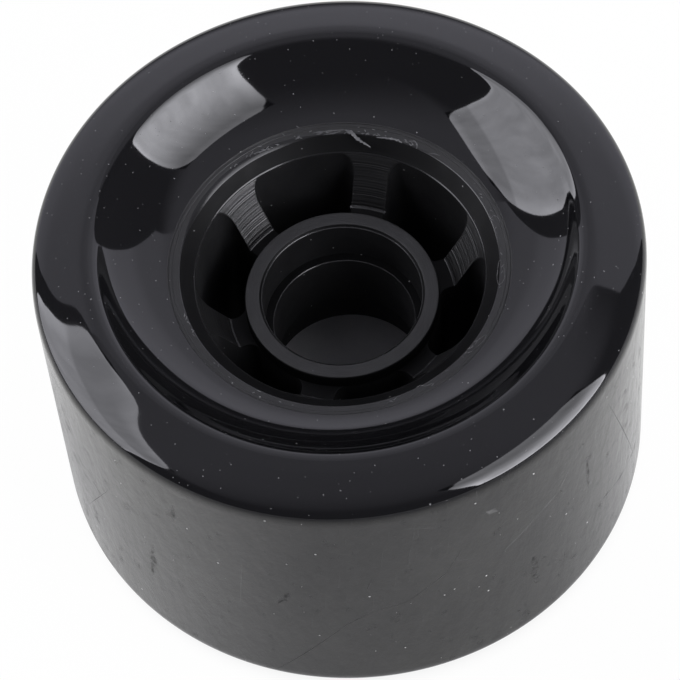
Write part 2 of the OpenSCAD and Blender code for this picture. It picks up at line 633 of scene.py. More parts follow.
@dataclass(frozen=True)
class GroundTread:
    """Satin ground surface of the tread, with streaks, hairlines, marks and dust."""

    dark: Colour = (0.006, 0.006, 0.0052, 1.0)
    pale: Colour = (0.032, 0.0316, 0.0276, 1.0)
    cloud: Cloud = Cloud(45.0, 0.0, 0.7)
    streak: Cloud = Cloud(420.0, 0.0, 0.4)
    streak_squeeze: Triple = (1.0, 0.12, 1.0)
    tone_gain: float = 0.77
    roughness: Cloud = Cloud(300.0, 0.11, 0.20)
    ior: float = 1.475
    hair_slender: float = 140.0
    hair_width: float = 0.5
    hair_strength: float = 0.5
    hairs: tuple[HairLayer, ...] = (
        HairLayer(0.42, 110.0, 0.035, HAIR_PALE), HairLayer(-0.83, 210.0, 0.05, HAIR_DARK),
        HairLayer(1.21, 75.0, 0.04, HAIR_DARK), HairLayer(1.66, 160.0, 0.03, HAIR_PALE),
        HairLayer(2.45, 90.0, 0.03, HAIR_DARK))
    smudge: Cloud = Cloud(430.0, -1.6, 0.95)
    smudge_strength: Pair = (0.8, 0.15)
    pits: Speckle = Speckle(700.0, 0.11, 0.6)
    pit_strength: Pair = (0.7, 0.12)
    specks: Speckle = Speckle(420.0, 0.066, 0.70)
    dust_colour: Colour = (0.55, 0.55, 0.53, 1.0)
    grain: Pair = (2600.0, 3.0)
    worn: Cloud = Cloud(620.0, 0.0, 4.5)
    worn_squeeze: Triple = (1.0, 0.4, 1.0)
    bump: Pair = (0.06, 0.0002)
    cast: CastUrethane = CastUrethane()
    fade: Pair = (0.04124, 0.04147)
    reach: float = 0.0415
    broken: Cloud = Cloud(800.0, -0.45, 1.0)
    marks: tuple[TreadMark, ...] = (
        TreadMark(Mark.SCRATCH, 0.17, ((-19.7, -22.3), (-4.9, -6.0), (-0.1, -2.8), (6.8, -1.2))),
        TreadMark(Mark.SCRATCH, 0.13, ((6.8, -1.2), (11.6, 2.1), (14.5, 4.2), (17.5, 8.9))),
        TreadMark(Mark.SCUFF, 0.13, ((26.5, 3.2), (34.3, 7.1), (39.1, 8.8), (42.6, 12.6), (46.6, 15.6))),
        TreadMark(Mark.SCUFF, 0.07, ((-23.5, 9.2), (-25.5, -6.4))),
        TreadMark(Mark.SCRATCH, 0.75, ((-15.2, 2.2), (-16.0, 0.7))),
        TreadMark(Mark.SCRATCH, 0.35, ((-16.6, -0.2), (-17.6, -1.4))),
        TreadMark(Mark.SCRATCH, 0.14, ((-0.6, 3.8), (0.0, 5.8))),
        TreadMark(Mark.SCRATCH, 0.30, ((7.9, 7.8), (7.9, 7.7))),
        TreadMark(Mark.SCRATCH, 0.24, ((-3.2, 11.7), (-3.2, 11.6))),
        TreadMark(Mark.SCRATCH, 0.10, ((54.8, 16.4), (68.9, -13.7))),
        TreadMark(Mark.SCRATCH, 0.09, ((70.1, -13.7), (49.5, -6.6))),
        TreadMark(Mark.SCRATCH, 0.08, ((70.9, -8.1), (60.8, -11.7))),
        TreadMark(Mark.SMEAR, 0.7, ((47.4, 9.0), (48.0, 1.0))),
        TreadMark(Mark.SMEAR, 1.3, ((32.9, -4.1), (33.6, -12.1))),
        TreadMark(Mark.SCUFF, 0.9, ((22.9, 16.4), (25.0, 15.2))),
        TreadMark(Mark.SMEAR, 1.1, ((-15.8, 1.3), (-17.3, -0.9))),
        TreadMark(Mark.SMEAR, 0.9, ((-43.8, 0.6), (-45.6, -9.8))),
        TreadMark(Mark.SMEAR, 0.7, ((-36.6, 17.4), (-37.4, 12.1))),
        TreadMark(Mark.SCRATCH, 0.08, ((-65.8, -9.6), (-54.4, 6.7))))

    def mark_masks(self, kit: NodeKit, place: Socket, plan: Socket) -> list[tuple[Mark, Socket]]:
        """Draw the marks stroke by stroke.

        Args:
            kit: Kit of the material.
            place: Place on the wheel.
            plan: Flat plan of way round and height.

        Returns:
            Kind and mask of each stroke.
        """
        broken = kit.mottle(place, self.broken)
        masks = []
        for mark in self.marks:
            points = [(math.radians(a) * self.reach, z * MM, 0.0) for a, z in mark.places]
            for start, end in zip(points, points[1:]):
                mask = kit.group(EFFECTS.stroke, Plan=plan, Start=start, End=end, Width=mark.width * MM)[0]
                mask = kit.math("MULTIPLY", mask, kit.math("MAXIMUM", broken, mark.kind.value[1]))
                masks.append((mark.kind, mask))
        return masks

    def material(self) -> Material:
        """Build the material, which fades into the cast finish at the tread's edges.

        Returns:
            The material.
        """
        material, kit, shader = new_material("ground_tread")
        place = kit.place()
        plans = kit.group(EFFECTS.unrolled, Place=place, Turn=-PHOTO_TURN, Reach=self.reach)
        plan = plans["Wrap"]
        drawn = kit.vector("MULTIPLY", plan, self.streak_squeeze)
        tone = kit.math("ADD", kit.mottle(place, self.cloud), kit.mottle(drawn, self.streak))
        colour = kit.blend(kit.math("MULTIPLY", tone, self.tone_gain), self.dark, self.pale)
        rough = kit.mottle(drawn, self.roughness)
        for hair in self.hairs:
            mask = kit.group(EFFECTS.hairlines, Plan=plan, Turn=hair.turn, Cells=hair.cells,
                             Slender=self.hair_slender, Width=self.hair_width, Share=hair.share)[0]
            colour = kit.blend(kit.math("MULTIPLY", mask, self.hair_strength), colour, hair.colour)
        smudge = kit.math("MAXIMUM", kit.mottle(place, self.smudge), 0.0)
        pits = kit.dust(place, self.pits)
        for mask, paint, (strength, matt) in ((smudge, self.dark, self.smudge_strength),
                                              (pits, HAIR_DARK, self.pit_strength)):
            colour = kit.blend(kit.math("MULTIPLY", mask, strength), colour, paint)
            rough = kit.math("ADD", rough, kit.math("MULTIPLY", mask, matt))
        for kind, mask in self.mark_masks(kit, place, plan):
            paint, _, matt = kind.value
            colour = kit.blend(mask, colour, paint)
            rough = kit.math("ADD", rough, kit.math("MULTIPLY", mask, matt))
        colour = kit.blend(kit.dust(place, self.specks), colour, self.dust_colour)
        ground = kit.span(plans["Radius"], *self.fade)
        glossy = (self.cast.roughness.low + self.cast.roughness.high) / 2
        rough = kit.math("ADD", kit.math("MULTIPLY", kit.math("SUBTRACT", rough, glossy), ground), glossy)
        kit.link(kit.blend(ground, self.cast.colour, colour), shader.inputs["Base Color"])
        kit.link(rough, shader.inputs["Roughness"])
        shader.inputs["IOR"].default_value = self.ior
        worn = kit.mottle(kit.vector("MULTIPLY", plan, self.worn_squeeze), self.worn)
        height = kit.math("ADD", kit.noise(place, *self.grain), kit.math("MULTIPLY", worn, ground))
        kit.bump(shader, height, *self.bump)
        return material


@dataclass(frozen=True)
class CorePlastic:
    """One finish of the core's black plastic."""

    name: str
    colour: Colour
    pale: Colour
    roughness: Pair
    specular: float = 0.5
    grain: float = 0.2
    rings: float = 0.0
    brushed: float = 0.0
    dust: float = 0.5
    dust_colour: Colour = (0.26, 0.26, 0.255, 1.0)
    dust_cells: float = 620.0
    dust_size: float = 0.075
    cloud: Cloud = Cloud(160.0)
    rough_scale: float = 260.0
    grain_noise: Pair = (1500.0, 3.0)
    ring_pitch: float = 0.00013
    ring_detail: float = 2.0
    brush: Cloud = Cloud(5200.0)
    brush_squeeze: Triple = (0.05, 1.0, 1.0)
    reach: float = 0.0225
    ior: float = 1.5
    bump: Pair = (1.0, 0.00003)

    def material(self) -> Material:
        """Build the material.

        Returns:
            The material.
        """
        material, kit, shader = new_material(self.name)
        place = kit.place()
        plans = kit.group(EFFECTS.unrolled, Place=place, Turn=0.0, Reach=self.reach)
        tone = kit.mottle(place, self.cloud)
        height = kit.math("MULTIPLY", kit.noise(place, *self.grain_noise), self.grain)
        if self.rings:
            inputs = {"W": plans["Radius"], "Scale": 1 / self.ring_pitch, "Detail": self.ring_detail}
            lines = kit.add("ShaderNodeTexNoise", inputs, noise_dimensions="1D").outputs[0]
            height = kit.math("ADD", height, kit.math("MULTIPLY", lines, self.rings))
        if self.brushed:
            brush = kit.mottle(kit.vector("MULTIPLY", plans["Disc"], self.brush_squeeze), self.brush)
            height = kit.math("ADD", height, kit.math("MULTIPLY", brush, self.brushed))
            tone = kit.math("MULTIPLY", kit.math("ADD", tone, brush), 0.5)
        specks = kit.dust(place, Speckle(self.dust_cells, self.dust_size, self.dust))
        colour = kit.blend(specks, kit.blend(tone, self.colour, self.pale), self.dust_colour)
        kit.link(colour, shader.inputs["Base Color"])
        kit.link(kit.mottle(place, Cloud(self.rough_scale, *self.roughness)), shader.inputs["Roughness"])
        shader.inputs["IOR"].default_value = self.ior
        shader.inputs["Specular IOR Level"].default_value = self.specular
        kit.bump(shader, height, *self.bump)
        return material


CORE_FINISHES = {
    CoreZone.SCUFFED: CorePlastic("core_scuffed", (0.006, 0.006, 0.0063, 1.0), (0.017, 0.017, 0.0175, 1.0),
                                  (0.46, 0.58), brushed=0.8),
    CoreZone.SATIN: CorePlastic("core_satin", (0.0022, 0.0022, 0.0023, 1.0), (0.0042, 0.0042, 0.0044, 1.0),
                                (0.46, 0.56), specular=0.11, grain=0.4),
    CoreZone.TURNED: CorePlastic("core_turned", (0.0025, 0.0025, 0.0026, 1.0), (0.005, 0.005, 0.0052, 1.0),
                                 (0.36, 0.44), specular=0.95, rings=2.4),
    CoreZone.POLISHED: CorePlastic("core_polished", (0.008, 0.008, 0.0084, 1.0), (0.012, 0.012, 0.0125, 1.0),
                                   (0.16, 0.24), dust=0.2),
    CoreZone.WALL: CorePlastic("core_wall", (0.008, 0.008, 0.0083, 1.0), (0.014, 0.014, 0.0145, 1.0),
                               (0.52, 0.62), specular=0.20, grain=0.4),
    # Burr: paler and glossier; its pale colour is partly real burr and partly a painted highlight on the fold
    # ridge, seat mouth and bore shoulder.
    CoreZone.BURR: CorePlastic("core_burr_highlight", (0.030, 0.030, 0.031, 1.0), (0.055, 0.055, 0.056, 1.0),
                               (0.16, 0.24), dust=0.2),
}


@dataclass
class Tyre:
    """Cast tyre: ground tread, rounded lips, sloping rims, broad crests and dished sides. Millimetres."""

    radius: float = 41.5
    half_width: float = 26.3
    foot_z: float = 19.4
    keys: BarrelKeys = field(default_factory=BarrelKeys)
    columns: int = 480
    fine_points: int = 3621
    side_points: int = 80
    edge_points: int = 12
    tread_points: int = 5
    point_reach: float = 60.0
    point_turn: float = 260.0
    sharp: float = 14.0
    ground_in: float = 0.32
    edge_drop: float = 2.1
    soften: float = 0.22
    tilts: tuple[Pair, ...] = (
        (23.4, -14.0), (25.0, -22.5), (26.7, -28.5), (28.5, -35.0), (30.0, -40.0), (31.3, -46.0),
        (32.2, -48.5), (32.75, -37.0), (33.3, -17.5), (33.9, -2.5), (34.6, 9.8), (35.1, 15.0), (35.6, 17.6),
        (36.2, 18.6), (37.3, 19.1), (38.2, 19.8), (39.0, 21.6), (40.1, 26.5), (40.6, 34.0), (40.9, 45.0),
        (41.08, 53.0))

    def profile(self) -> tuple[np.ndarray, np.ndarray, np.ndarray]:
        """Sum the side's surface from the tilts that its reflections show, eased between the listed radii.

        Returns:
            Radii, tilts in degrees and heights above the middle, from the core out to the lip.
        """
        listed = np.array(self.tilts)
        radii = np.linspace(listed[0, 0], listed[-1, 0], self.fine_points)
        step = radii[1] - radii[0]
        reach = int(self.soften / step)
        window = np.hanning(2 * reach + 3)[1:-1]
        raw = np.interp(radii, listed[:, 0], listed[:, 1])
        padded = np.concatenate([2 * raw[0] - raw[reach:0:-1], raw, 2 * raw[-1] - raw[-2:-reach - 2:-1]])
        tilt = np.convolve(padded, window / window.sum(), "valid")
        fall = np.concatenate([[0.0], np.cumsum(-np.tan(np.radians((tilt[1:] + tilt[:-1]) / 2)) * step)])
        crest = int(np.argmax(fall))
        rise = (self.half_width - self.foot_z) / fall[crest]
        inner, outer = self.foot_z + fall * rise, self.half_width + fall - fall[crest]
        return radii, tilt, np.where(np.arange(len(radii)) <= crest, inner, outer)

    def side_section(self) -> Section:
        """Give the section of one side, from the tread's soft edge in to the core.

        Returns:
            Points of edge, lip, rim, crest and dish above the middle, closest where the surface turns most.
        """
        radii, tilt, height = self.profile()
        effort = np.diff(radii) / self.point_reach + np.abs(np.diff(tilt)) / self.point_turn
        effort = np.concatenate([[0.0], np.cumsum(effort)])
        picks = np.interp(np.linspace(0, effort[-1], self.side_points), effort, radii)
        side = [(float(r), float(np.interp(r, radii, height))) for r in reversed(picks)]
        top = np.array(side[0])
        knee_z = top[1] - (self.radius - top[0]) * math.tan(math.radians(tilt[-1]))
        knee, foot = np.array((self.radius, knee_z)), np.array((self.radius, top[1] - self.edge_drop))
        edge = [tuple((foot * (1 - t) ** 2 + knee * 2 * t * (1 - t) + top * t * t).tolist())
                for t in np.linspace(0, 1, self.edge_points)]
        return edge[:-1] + side

    def build(self) -> Thing:
        """Build and dress the tyre.

        Returns:
            The tyre's object.
        """
        side = self.side_section()
        edge_z = side[0][1]
        tread = line((self.radius, -edge_z), (self.radius, edge_z), self.tread_points)
        wall = self.keys.wall(side[-1][1])
        section = without_repeats(tread + side + wall + mirrored(side))[:-1]
        inner = self.radius - self.ground_in
        ground = [min(a[0], b[0]) > inner for a, b in zip(section, section[1:] + section[:1])]
        zones = np.where(ground, TyreZone.TREAD.value, TyreZone.CAST.value)
        angles = np.linspace(0, FULL_TURN, self.columns, endpoint=False)
        draft = MeshDraft()
        draft.add_grid(revolve(section, angles, self.keys), wrap_rows=True, wrap_cols=True, zones=zones)
        piece = draft.to_object("tyre_cast", self.sharp)
        piece.data.materials.append(CastUrethane().material())
        piece.data.materials.append(GroundTread().material())
        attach(piece, BODY)
        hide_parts("tyre")
        return piece


@dataclass
class Core:
    """Moulded core: ring under the tyre, six waisted spokes, hub with bearing seats. Millimetres."""

    keys: BarrelKeys = field(default_factory=BarrelKeys)
    rim_z: float = 19.4
    lip_in: Pair = (21.8, 18.95)
    lip_round: Pair = (0.45, 2.0)
    lip_worn: Triple = (128.0, 18.0, 36.0)
    grooves: tuple[Pair, ...] = ((0.95, 0.05), (1.42, 0.07))
    groove_half: float = 0.07
    ledge: Pair = (19.75, 17.2)
    ledge_steps: Pair = (0.07, 0.14)
    ledge_burr: float = 0.03
    bevel_start: float = 0.24
    fold: Pair = (15.6, 9.8)
    hub_r: float = 13.4
    hub_z: float = 12.0
    hub_round: float = 0.25
    hub_foot: float = 0.3
    hub_inset: float = 0.5
    seat_r: float = 11.0
    mouth_out: float = 0.46
    mouth: tuple[Pair, ...] = ((0.38, -0.03), (0.12, -0.30), (0.03, -0.38), (0.0, -0.44))
    seat_top: float = 1.0
    shoulder_z: float = 5.0
    shoulder_burr: float = 0.08
    bore_r: float = 9.8
    near: float = 0.02
    burr_reach: float = 0.1
    spoke_count: int = 6
    spoke_half: float = 2.4
    outer_round: float = 1.6
    inner_round: float = 1.8
    edge_round: float = 0.22
    edge_steps: tuple[float, ...] = (0.0, 0.12, 0.36, 0.68, 1.0)
    edge_limits: Pair = (0.2, 0.4)
    edge_fade: float = 5.0
    ridge_h: float = 0.10
    ridge_w: float = 0.30
    ridge_stops: tuple[float, ...] = (-1.4, -0.7, 0.0, 0.7, 1.4)
    step_off: float = 0.62
    step_w: float = 0.07
    step_h: float = 0.05
    step_stops: tuple[float, ...] = (-1.3, -1.0, 0.0, 1.0, 1.3)
    circled: Pair = (0.3, 0.6)
    corner_points: int = 14
    rows: int = 9
    across: int = 13
    gap_columns: int = 40
    sharp: float = 24.0

    def spoke_wall(self) -> Section:
        """Give the plan of a spoke's side, from the ledge in to the hub.

        Returns:
            Points as distance along the spoke and distance from its middle line.
        """
        half = self.spoke_half
        outer_y, inner_y = half + self.outer_round, half + self.inner_round
        outer_x = math.sqrt((self.ledge[0] - self.outer_round) ** 2 - outer_y ** 2)
        inner_x = math.sqrt((self.hub_r + self.inner_round) ** 2 - inner_y ** 2)
        outer_end = math.degrees(math.atan2(outer_y, outer_x))
        inner_end = -180 + math.degrees(math.atan2(inner_y, inner_x))
        stops = {outer_x, inner_x} | {self.fold[0] + s * self.ridge_w / 2 for s in self.ridge_stops}
        stops |= {self.fold[0] + self.step_off + s * self.step_w for s in self.step_stops}
        stops |= set(np.linspace(outer_x, inner_x, self.rows))
        middle, reach = self.circled
        points = arc((outer_x, outer_y), self.outer_round, outer_end, -90, self.corner_points)
        points += [(math.sqrt(x * x - half * half) if abs(x - self.fold[0] - middle) < reach else x, half)
                   for x in sorted(stops, reverse=True)]
        points += arc((inner_x, inner_y), self.inner_round, -90, inner_end, self.corner_points)
        return without_repeats(points)

    def spoke_height(self, radius: float) -> float:
        """Give the height of a spoke's face: flat land, ridge at the fold, the tool's step, then the slope.

        Args:
            radius: Distance from the axle.

        Returns:
            Height above the middle.
        """
        slope = (self.ledge[1] - self.fold[1]) / (self.ledge[0] - self.fold[0])
        height = self.fold[1] + max(0.0, radius - self.fold[0]) * slope
        off = abs(radius - self.fold[0]) / (self.ridge_w / 2)
        step = abs(radius - self.fold[0] - self.step_off) / self.step_w
        return height + self.ridge_h * max(0.0, 1 - off) + self.step_h * max(0.0, 1 - step)

    def spoke_zone(self, radius: float) -> int:
        """Give the finish of a spoke's face at a radius.

        Args:
            radius: Distance from the axle.

        Returns:
            Number of the finish in the core's mesh.
        """
        # The fold ridge takes the burr finish, whose pale colour is partly a painted highlight.
        if abs(radius - self.fold[0]) < self.ridge_w / 2:
            return CoreZone.BURR.value
        return (CoreZone.TURNED if radius > self.fold[0] else CoreZone.SATIN).value

    def ring_section(self, lip_round: float) -> tuple[Section, list[int]]:
        """Give the section of the ring, from the upper ledge over the lip and outside to the lower ledge.

        Args:
            lip_round: Rounding of the lip's inner edge.

        Returns:
            Points of the ring's section, and the finish of each step between them.
        """
        (lx, lz), (ex, ez) = self.lip_in, self.ledge
        slope = (lz - ez) / (lx - ex)
        fall = (self.rim_z - lz) / (self.keys.barrel_r - lx)
        steep, flat = math.atan(slope), math.atan(fall)
        tangent = lip_round * math.tan((steep - flat) / 2)
        begin = (lx - tangent * math.cos(steep), lz - tangent * math.sin(steep))
        centre = (begin[0] + lip_round * math.sin(steep), begin[1] - lip_round * math.cos(steep))
        ledge = [(ex, ez)] + [(ex + s, ez + s * slope + self.ledge_burr) for s in self.ledge_steps]
        bevel = line((ex + self.bevel_start, ez + self.bevel_start * slope), begin, 6)
        lip = arc(centre, lip_round, 90 + math.degrees(steep), 90 + math.degrees(flat), self.rows)[1:]
        face = [(lx + groove + off, lz + (groove + off) * fall - drop) for groove, depth in self.grooves
                for off, drop in ((-self.groove_half, 0.0), (0.0, depth), (self.groove_half, 0.0))]
        top = ledge + bevel + lip + face
        wall = self.keys.wall(self.rim_z)
        zones = [CoreZone.POLISHED] * (len(ledge) - 1) + [CoreZone.SATIN] * len(bevel)
        zones += [CoreZone.POLISHED] * len(lip) + [CoreZone.SCUFFED] * (len(face) + 1)
        zones += [CoreZone.WALL] * (len(wall) - 1) + zones[::-1]
        return top + wall + mirrored(top), [zone.value for zone in zones]

    def ring_grid(self, angles: np.ndarray, turn: float) -> np.ndarray:
        """Turn the ring's section, with its lip rounded most where it was trimmed.

        Args:
            angles: Angles of the columns in radians.
            turn: Turn of the spoke that the columns belong to.

        Returns:
            Points as section points by angles by three.
        """
        crisp, worn = (revolve(self.ring_section(r)[0], angles, self.keys) for r in self.lip_round)
        middle, full, end = (math.radians(v) for v in self.lip_worn)
        off = np.abs((angles + turn - PHOTO_TURN - middle + math.pi) % FULL_TURN - math.pi)
        share = np.clip((end - off) / (end - full), 0.0, 1.0)
        share = (share * share * (3 - 2 * share))[None, :, None]
        return crisp * (1 - share) + worn * share

    def hub_zone(self, radius: float, height: float) -> int:
        """Give the finish of the hub at a place of its section.

        Args:
            radius: Distance from the axle.
            height: Height above or below the middle.

        Returns:
            Number of the finish in the core's mesh.
        """
        past_seat, past_bore = radius - self.seat_r, radius - self.bore_r
        if abs(height) > self.hub_z - self.near:
            return CoreZone.SCUFFED.value
        # Thin bands at the seat mouth and bore shoulder take the burr finish, whose pale colour is partly a
        # painted highlight.
        if self.near < past_seat < self.burr_reach or 0 < past_bore < self.burr_reach:
            return CoreZone.BURR.value
        on_wall = past_bore < self.near / 2 or abs(past_seat) < self.near
        return (CoreZone.WALL if on_wall else CoreZone.SATIN).value

    def hub_section(self) -> Section:
        """Give the section of the hub, from the upper land over its end and through to the lower land.

        Returns:
            Points of the hub's section.
        """
        h, r, z, foot = self.hub_round, self.hub_r, self.hub_z, self.fold[1]
        top = [(r, foot)] + line((r, foot + self.hub_foot), (r, z - h), 4)
        top += arc((r - h, z - h), h, 0, 90, 5)
        top += line((r - self.hub_inset, z), (self.seat_r + self.mouth_out, z), 4)
        top += [(self.seat_r + out, z + up) for out, up in self.mouth]
        top += line((self.seat_r, z - self.seat_top), (self.seat_r, self.shoulder_z), 6)
        top += [(self.bore_r + self.shoulder_burr, self.shoulder_z),
                (self.bore_r, self.shoulder_z - self.shoulder_burr)]
        return without_repeats(top + [(self.bore_r, 0.0)] + mirrored(top))

    def spread(self, half_angle: float, radius: float, edge: float) -> tuple[np.ndarray, np.ndarray]:
        """Spread the columns over a spoke, close together at its rounded edges.

        Args:
            half_angle: Half the angle that the spoke takes.
            radius: Distance from the axle.
            edge: Drop of the rounded edge in millimetres.

        Returns:
            Angles of the columns, and the drop of the surface at each.
        """
        reach = half_angle * radius
        width = min(self.edge_round, self.edge_limits[0] * reach)
        inset = np.minimum(np.array(self.edge_steps) * self.edge_round, self.edge_limits[1] * reach)
        inner = np.linspace(inset[-1], 2 * reach - inset[-1], self.across)[1:-1]
        place = np.concatenate([inset, inner, 2 * reach - inset[::-1]]) - reach
        gap = np.clip(np.minimum(reach - np.abs(place), width) / width, 0, 1)
        return place / radius, edge * (1 - np.sqrt(1 - (1 - gap) ** 2))

    def spoke_face(self) -> tuple[np.ndarray, list[int]]:
        """Give the upper face of the spoke along X, from the ledge in to the hub.

        Returns:
            Points as rows by columns by three, and the finish of each row.
        """
        polar = [(math.hypot(x, y), math.atan2(y, x)) for x, y in self.spoke_wall()]
        rows, last = [], len(polar) - 1
        for i, (radius, half) in enumerate(polar):
            fade = min(1.0, min(i, last - i) / self.edge_fade)
            angles, drop = self.spread(half, radius, self.edge_round * fade)
            height = self.spoke_height(radius) - drop
            rows.append(np.stack([radius * np.cos(angles), radius * np.sin(angles), height], axis=1))
        return np.array(rows), [self.spoke_zone((a[0] + b[0]) / 2) for a, b in zip(polar, polar[1:])]

    def build(self) -> Thing:
        """Build and dress the core.

        Returns:
            The core's object.
        """
        grid, spoke_zones = self.spoke_face()
        under = grid * np.array((1.0, 1.0, -1.0))
        levels = np.linspace(0, 1, self.rows)[:, None, None]
        sides = [grid[None, :, k] * (1 - levels) + under[None, :, k] * levels for k in (0, -1)]
        ring, ring_zones = self.ring_section(self.lip_round[0])
        hub = self.hub_section()
        hub_zones = [self.hub_zone((a[0] + b[0]) / 2, (a[1] + b[1]) / 2) for a, b in zip(hub, hub[1:])]
        step = FULL_TURN / self.spoke_count
        draft = MeshDraft()
        for n in range(self.spoke_count):
            c, s = math.cos(n * step), math.sin(n * step)
            turn = np.array(((c, s, 0), (-s, c, 0), (0, 0, 1)))
            draft.add_grid(grid @ turn, zones=spoke_zones)
            draft.add_grid(under @ turn, zones=spoke_zones)
            for side in sides:
                draft.add_grid(side @ turn, zones=CoreZone.WALL.value)
            for section, zones, row in ((ring, ring_zones, 0), (hub, hub_zones, -1)):
                over = np.arctan2(grid[row, :, 1], grid[row, :, 0])
                gap = np.linspace(over[-1], step + over[0], self.gap_columns)
                for angles in (over, gap):
                    part = self.ring_grid(angles, n * step) if section is ring else revolve(section, angles)
                    draft.add_grid(part @ turn, zones=zones)
                between = line(section[0], section[-1], self.rows)
                draft.add_grid(revolve(between, gap) @ turn, zones=CoreZone.WALL.value)
        piece = draft.to_object("core_moulded", self.sharp)
        for zone in CoreZone:
            piece.data.materials.append(CORE_FINISHES[zone].material())
        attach(piece, BODY)
        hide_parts("core")
        return piece


@dataclass(frozen=True)
class FlashStrip:
    """One torn sliver of flash: radius, degrees and height of its places, half widths, half thickness."""

    places: tuple[Triple, ...]
    across: tuple[float, ...]
    thick: float
    sides: int = 8
    fine: int = 6
    torn: Pair = (0.55, 1.35)
    lumpy: Pair = (0.5, 1.5)
    wander: Pair = (0.35, 0.2)

    def path(self) -> tuple[np.ndarray, np.ndarray]:
        """Give a smooth path through the places.

        Returns:
            Steps counted in places, and the points of the path in the wheel's frame.
        """
        radius, degrees, height = np.array(self.places).T
        angle = np.radians(degrees) + PHOTO_TURN
        listed = np.stack([radius * np.cos(angle), radius * np.sin(angle), height], axis=1)
        ends = np.vstack([2 * listed[0] - listed[1], listed, 2 * listed[-1] - listed[-2]])
        steps = np.linspace(0, len(listed) - 1, (len(listed) - 1) * self.fine + 1)
        points = []
        for at in steps:
            i = min(int(at), len(listed) - 2)
            t = at - i
            a, b, c, d = ends[i:i + 4]
            curve = 2 * b + (c - a) * t + (2 * a - 5 * b + 4 * c - d) * t * t
            points.append(0.5 * (curve + (3 * b - a - 3 * c + d) * t ** 3))
        return steps, np.array(points)

    def grid(self) -> np.ndarray:
        """Sweep a flattened, torn section along the path and close its ends to points.

        Returns:
            Points as steps by sides by three.
        """
        steps, middle = self.path()
        count = len(steps)
        ahead = np.gradient(middle, axis=0)
        side = np.stack([ahead[:, 1], -ahead[:, 0], np.zeros(count)], axis=1)
        side /= np.maximum(np.linalg.norm(side, axis=1, keepdims=True), TINY)
        chance = np.random.default_rng(count + int(1000 * self.across[1]))
        width = np.interp(steps, np.arange(len(self.across)), self.across) * chance.uniform(*self.torn, count)
        stray, widest = self.wander
        middle += chance.uniform(-stray, stray, (count, 3)) * np.minimum(width, widest)[:, None]
        height = self.thick * chance.uniform(*self.lumpy, count)
        width[[0, -1]] = 0.0
        height[[0, -1]] = 0.0
        turn = np.linspace(0, FULL_TURN, self.sides, endpoint=False)
        grid = middle[:, None] + side[:, None] * (width[:, None] * np.cos(turn))[:, :, None]
        grid[:, :, 2] += height[:, None] * np.sin(turn)
        return grid


